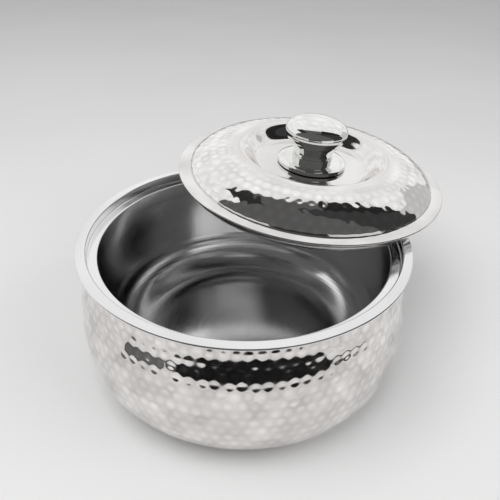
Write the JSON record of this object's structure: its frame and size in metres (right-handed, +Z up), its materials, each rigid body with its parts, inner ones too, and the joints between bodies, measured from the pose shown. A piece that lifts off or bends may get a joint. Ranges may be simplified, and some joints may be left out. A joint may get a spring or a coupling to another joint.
{
  "type": "insulated casserole",
  "caption": "Double-walled insulated steel casserole with a hammered round belly, a flat seamed brim, a stepped ledge and a lift-off insulated lid with a flared knob.",
  "frame": {"origin": "centre of the pot's base, on the table it stands on", "axes": "+Z up along the pot's axis, -Y towards the near side, +X to the right; the lid rests ajar towards +X and +Y"},
  "size_m": [0.2831, 0.3044, 0.1722],
  "materials": {
    "hammered_steel": "mirror-polished stainless steel, hand-hammered",
    "polished_steel": "mirror-polished stainless steel, smooth",
    "bowl_steel": "polished stainless steel with fine spun lines",
    "base_steel": "satin pressed stainless steel",
    "foam": "rigid polyurethane foam",
    "plug_plastic": "black moulded plastic",
    "core_plastic": "black moulded phenolic",
    "insert_brass": "turned brass",
    "fastener_steel": "zinc-plated steel"
  },
  "bodies": {
    "pot": {"outer_shell": "hammered_steel", "inner_bowl": "bowl_steel", "body_insulation": "foam", "base_plate": "base_steel", "base_filler_plug": "plug_plastic"},
    "lid": {"lid_outer_shell": "hammered_steel", "lid_inner_pan": "bowl_steel", "lid_insulation": "foam", "lid_filler_plug": "plug_plastic", "knob_spacer": "plug_plastic", "knob_disc": "polished_steel", "knob_collar": "polished_steel", "knob_flare": "polished_steel", "knob_cap": "polished_steel", "knob_core": "core_plastic", "knob_insert": "insert_brass", "knob_screw": "fastener_steel", "knob_washer": "fastener_steel", "knob_spring_washer": "fastener_steel"}
  },
  "joints": [
    {"name": "lid_lift", "type": "slide", "parent": "pot", "child": "lid", "axis": [0, 0, 1], "range_m": [0, 0.15]}
  ]
}
